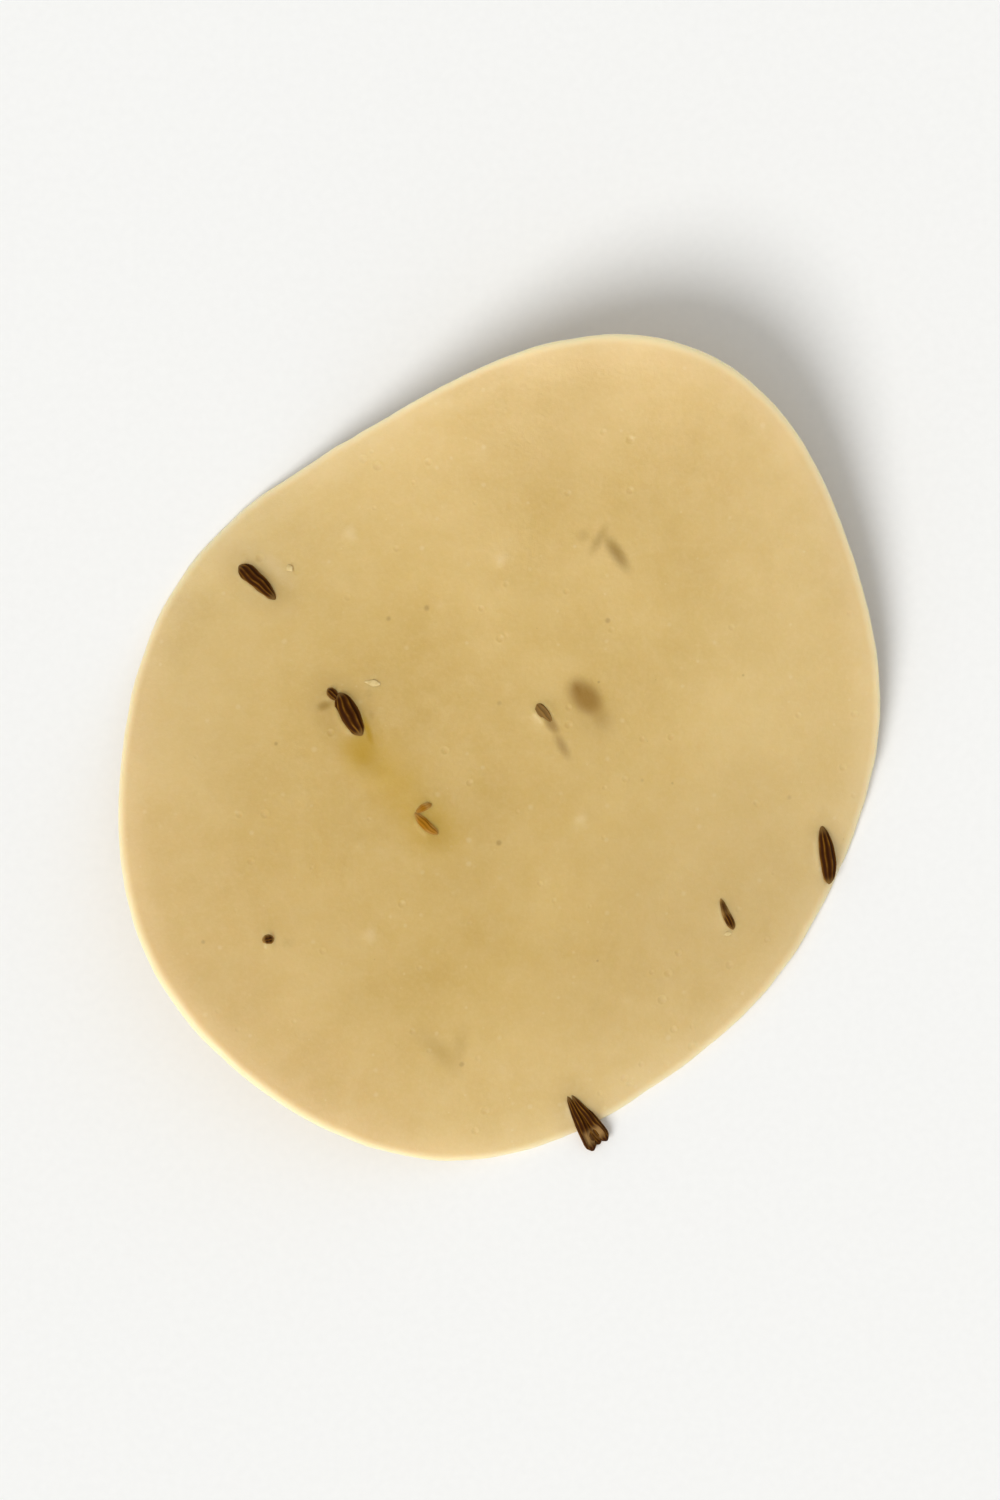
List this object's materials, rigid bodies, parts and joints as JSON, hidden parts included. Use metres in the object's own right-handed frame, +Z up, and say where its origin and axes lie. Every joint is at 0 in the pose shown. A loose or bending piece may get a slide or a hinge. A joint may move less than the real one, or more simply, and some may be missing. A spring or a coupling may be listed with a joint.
{
  "type": "rice papadum",
  "caption": "Small uncooked rice papadum: a thin dried wafer with a curled, wavy rim and cumin seeds set in its top face.",
  "frame": {"origin": "on the surface the papadum lies on, under the middle of its box", "axes": "+Z up out of its top face, +Y along its longest side as seen from above, +X to the right of that"},
  "size_m": [0.0546, 0.059, 0.0096],
  "materials": {
    "rice_wafer": "smooth, slightly waxy dried rice dough, cream to tan, paler at the thin rim"
  },
  "bodies": {
    "root": {"papadum": "rice_wafer"}
  },
  "joints": []
}
